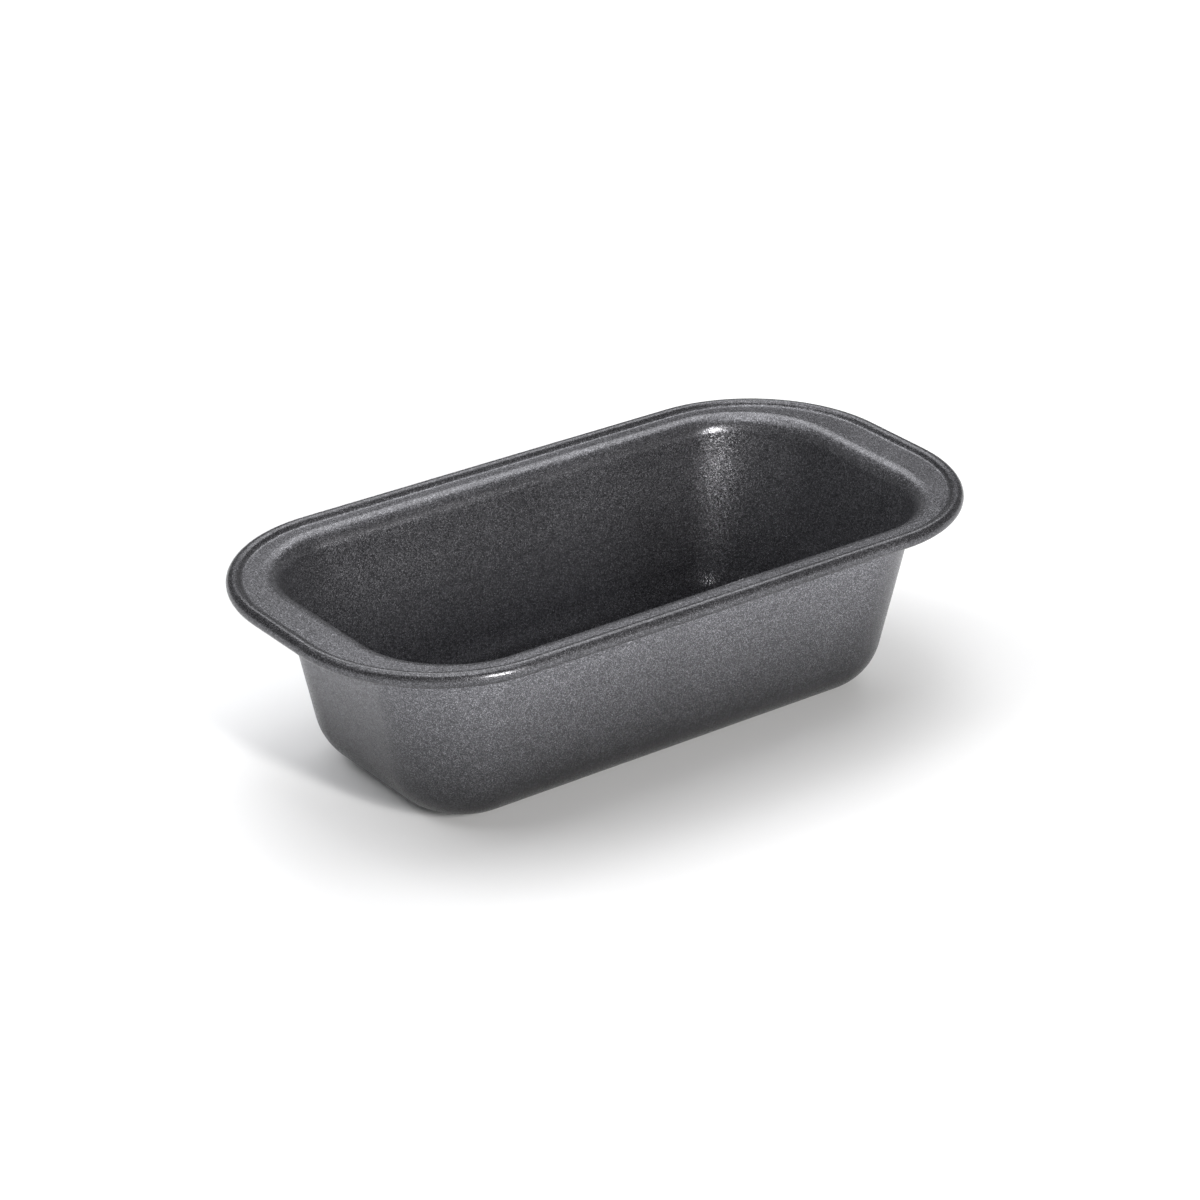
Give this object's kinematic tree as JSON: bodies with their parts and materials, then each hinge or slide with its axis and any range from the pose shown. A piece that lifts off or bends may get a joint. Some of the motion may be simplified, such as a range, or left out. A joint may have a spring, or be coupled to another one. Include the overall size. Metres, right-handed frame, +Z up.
{
  "type": "loaf pan",
  "caption": "Rectangular loaf pan with sloping walls, large rounded corners, wide flat flange handles at both ends and a rolled wire-edged rim, in dark nonstick-coated steel.",
  "frame": {"origin": "centre of the flat underside of the base, on the surface that the pan stands on", "axes": "+X along the pan's length, +Y across its width, +Z up out of the opening"},
  "size_m": [0.3016, 0.1552, 0.0823],
  "materials": {
    "nonstick_steel": "satin charcoal nonstick coating with fine metallic fleck",
    "galvanised_wire": "dull zinc-plated drawn wire"
  },
  "bodies": {
    "root": {"pan_body": "nonstick_steel", "rim_wire": "galvanised_wire"}
  },
  "joints": []
}
